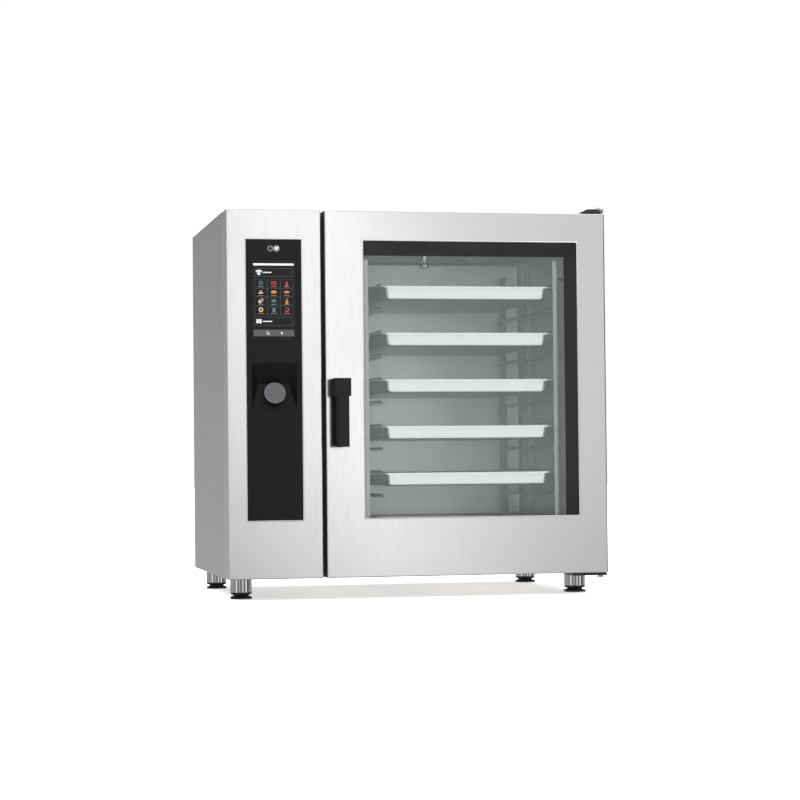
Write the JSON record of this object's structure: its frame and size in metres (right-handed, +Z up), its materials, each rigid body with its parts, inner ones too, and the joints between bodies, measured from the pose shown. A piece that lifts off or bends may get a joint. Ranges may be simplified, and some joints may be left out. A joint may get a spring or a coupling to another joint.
{
  "type": "combi steamer oven",
  "caption": "Floor-standing or stand-mounted combi steam oven with a control column on the left, a glazed right-hinged door, racks of shallow gastronorm containers and levelling feet.",
  "frame": {"origin": "on the floor, under the middle of the bounding box", "axes": "+Z up, +Y to the rear so that the door faces -Y, +X to the right seen from the front"},
  "size_m": [1.15, 1, 1.215],
  "materials": {
    "brushed_steel": "satin",
    "chrome": "polished",
    "galvanised_steel": "satin",
    "black_steel": "satin",
    "black_plastic": "matte",
    "panel_gloss": "gloss",
    "grey_plastic": "satin",
    "silicone": "matte",
    "clear_glass": "gloss",
    "screen_glass": "gloss",
    "mineral_wool": "matte",
    "circuit_board": "satin",
    "brass": "satin"
  },
  "bodies": {
    "oven": {"left_side_panel": "brushed_steel", "right_side_panel": "brushed_steel", "top_panel": "brushed_steel", "back_panel": "brushed_steel", "column_cover": "brushed_steel", "front_frame": "brushed_steel", "cavity_liner": "brushed_steel", "rack_left": "brushed_steel", "rack_right": "brushed_steel", "fan_baffle": "brushed_steel", "drain_strainer": "brushed_steel", "drain_pipe": "brushed_steel", "vent_chimney": "brushed_steel", "steam_boiler": "brushed_steel", "hinge_pin_top": "chrome", "hinge_pin_bottom": "chrome", "wash_nozzle": "chrome", "leg_sleeve_front_left": "chrome", "leg_sleeve_front_right": "chrome", "leg_sleeve_rear_left": "chrome", "leg_sleeve_rear_right": "chrome", "base_frame": "galvanised_steel", "latch_keeper": "galvanised_steel", "fan_motor_upper": "galvanised_steel", "fan_motor_lower": "galvanised_steel", "encoder_body": "galvanised_steel", "hinge_bracket_top": "black_steel", "hinge_bracket_bottom": "black_steel", "ring_heater_upper": "black_steel", "ring_heater_lower": "black_steel", "cable_gland": "black_plastic", "foot_front_left": "black_plastic", "foot_front_right": "black_plastic", "foot_rear_left": "black_plastic", "foot_rear_right": "black_plastic", "control_panel": "panel_gloss", "contactor_block": "grey_plastic", "door_seal": "silicone", "cavity_lamp": "clear_glass", "touch_display": "screen_glass", "insulation_jacket": "mineral_wool", "control_board": "circuit_board", "water_inlet_valve": "brass"},
    "door": {"door_skin": "brushed_steel", "door_inner_panel": "brushed_steel", "door_outer_glass": "clear_glass", "door_inner_glass": "clear_glass", "window_surround": "black_plastic"},
    "handle": {"door_handle": "black_plastic", "latch_shaft": "chrome"},
    "encoder": {"encoder_shaft": "chrome"},
    "knob": {"control_knob": "grey_plastic"},
    "fan_upper": {"fan_wheel_upper": "brushed_steel"},
    "fan_lower": {"fan_wheel_lower": "brushed_steel"},
    "container_1": {"gn_container_1": "brushed_steel"},
    "container_2": {"gn_container_2": "brushed_steel"},
    "container_3": {"gn_container_3": "brushed_steel"},
    "container_4": {"gn_container_4": "brushed_steel"},
    "container_5": {"gn_container_5": "brushed_steel"},
    "container_6": {"gn_container_6": "brushed_steel"}
  },
  "joints": [
    {"name": "door_hinge", "type": "hinge", "parent": "oven", "child": "door", "pos_m": [0.56, -0.405, 0.6], "axis": [0, 0, 1], "range_deg": [0, 120]},
    {"name": "handle_turn", "type": "hinge", "parent": "door", "child": "handle", "pos_m": [-0.243, -0.437, 0.625], "axis": [0, -1, 0], "range_deg": [0, 90]},
    {"name": "knob_push", "type": "slide", "parent": "oven", "child": "encoder", "axis": [0, 0.9664, -0.257], "range_m": [0, 0.002], "stiffness_N_per_m": 2500, "springref_m": -0.002},
    {"name": "knob_turn", "type": "hinge", "parent": "encoder", "child": "knob", "pos_m": [-0.4356, -0.42091, 0.604], "axis": [0, -0.9664, 0.257], "continuous": true},
    {"name": "fan_upper_spin", "type": "hinge", "parent": "oven", "child": "fan_upper", "pos_m": [-0.272, -0.01, 0.845], "axis": [1, 0, 0], "continuous": true},
    {"name": "fan_lower_spin", "type": "hinge", "parent": "oven", "child": "fan_lower", "pos_m": [-0.272, -0.01, 0.405], "axis": [1, 0, 0], "continuous": true},
    {"name": "container_1_slide", "type": "slide", "parent": "oven", "child": "container_1", "axis": [0, -1, 0], "range_m": [0, 0.045]},
    {"name": "container_2_slide", "type": "slide", "parent": "oven", "child": "container_2", "axis": [0, -1, 0], "range_m": [0, 0.045]},
    {"name": "container_3_slide", "type": "slide", "parent": "oven", "child": "container_3", "axis": [0, -1, 0], "range_m": [0, 0.045]},
    {"name": "container_4_slide", "type": "slide", "parent": "oven", "child": "container_4", "axis": [0, -1, 0], "range_m": [0, 0.045]},
    {"name": "container_5_slide", "type": "slide", "parent": "oven", "child": "container_5", "axis": [0, -1, 0], "range_m": [0, 0.045]},
    {"name": "container_6_slide", "type": "slide", "parent": "oven", "child": "container_6", "axis": [0, -1, 0], "range_m": [0, 0.045]}
  ]
}
